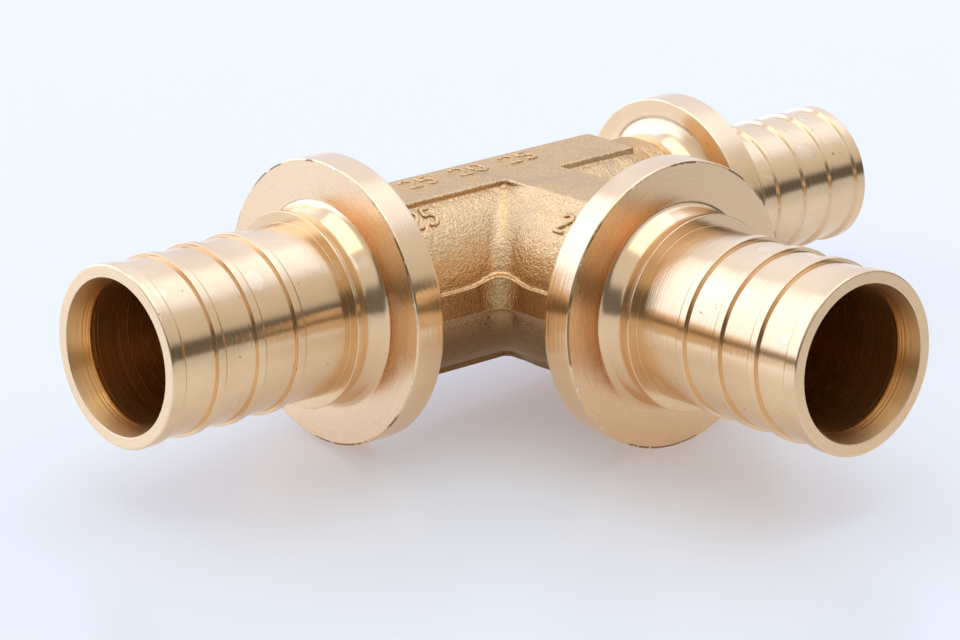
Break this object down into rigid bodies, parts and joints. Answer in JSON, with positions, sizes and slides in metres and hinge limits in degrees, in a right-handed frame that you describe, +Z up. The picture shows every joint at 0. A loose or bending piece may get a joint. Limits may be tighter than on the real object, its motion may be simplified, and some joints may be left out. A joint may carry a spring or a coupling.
{
  "type": "pex sleeve tee",
  "caption": "Brass reducing tee for plastic pipe, with ribbed nozzles and sleeve collars on a forged body, and a smaller arm at one end of the run.",
  "frame": {"origin": "the point where the axes of the run and the branch cross", "axes": "X along the run with the small arm at +X and the large arm at -X, the branch leaves along -Y, +Z up and square to all three arms"},
  "size_m": [0.1135, 0.0777, 0.0348],
  "materials": {
    "brass": "turned and bright at the nozzles and collars, blasted and matt on the forged body"
  },
  "bodies": {
    "root": {"tee_body": "brass"}
  },
  "joints": []
}
